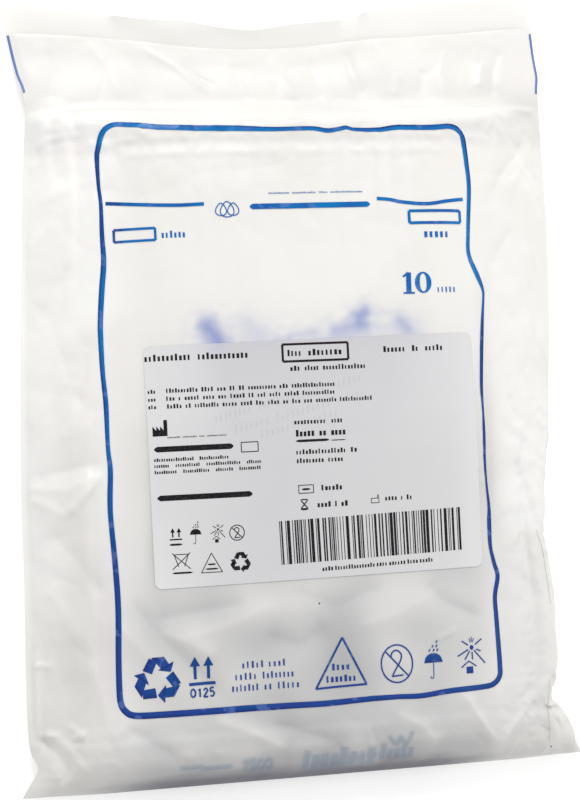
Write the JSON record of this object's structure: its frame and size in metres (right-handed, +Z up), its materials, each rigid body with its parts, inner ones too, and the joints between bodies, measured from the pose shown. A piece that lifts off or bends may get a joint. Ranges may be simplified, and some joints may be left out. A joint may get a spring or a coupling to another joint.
{
  "type": "sealed pack of urine drainage bags",
  "caption": "Sealed milky film pouch lying on its back around a flat stack of urine drainage bags with folded-over inlet tubes and capped connectors, with a stock label on its front.",
  "frame": {"origin": "On the surface the pack lies on, under the middle of the pack's box.", "axes": "+X across the pack to its right as its front is read, +Y up the pack towards its open header, +Z up through the front film."},
  "size_m": [0.2546, 0.349, 0.031],
  "materials": {
    "film": "milky translucent polyethylene film, softly glossy, lightly creased",
    "label": "satin light grey self-adhesive label with black print, slightly see-through",
    "bag": "clear soft PVC film, flat",
    "tube": "clear flexible PVC tube",
    "connector": "pale moulded plastic",
    "cap": "blue moulded plastic"
  },
  "bodies": {
    "root": {"pouch_film": "film", "label": "label", "urine_bag_01": "bag", "urine_bag_02": "bag", "urine_bag_03": "bag", "urine_bag_04": "bag", "urine_bag_05": "bag", "urine_bag_06": "bag", "urine_bag_07": "bag", "urine_bag_08": "bag", "urine_bag_09": "bag", "urine_bag_10": "bag", "tube_01": "tube", "tube_02": "tube", "tube_03": "tube", "tube_04": "tube", "tube_05": "tube", "tube_06": "tube", "tube_07": "tube", "tube_08": "tube", "tube_09": "tube", "tube_10": "tube", "connector_01": "connector", "connector_02": "connector", "connector_03": "connector", "connector_04": "connector", "connector_05": "connector", "connector_06": "connector", "connector_07": "connector", "connector_08": "connector", "connector_09": "connector", "connector_10": "connector", "cap_01": "cap", "cap_02": "cap", "cap_03": "cap", "cap_04": "cap", "cap_05": "cap", "cap_06": "cap", "cap_07": "cap", "cap_08": "cap", "cap_09": "cap", "cap_10": "cap"}
  },
  "joints": []
}
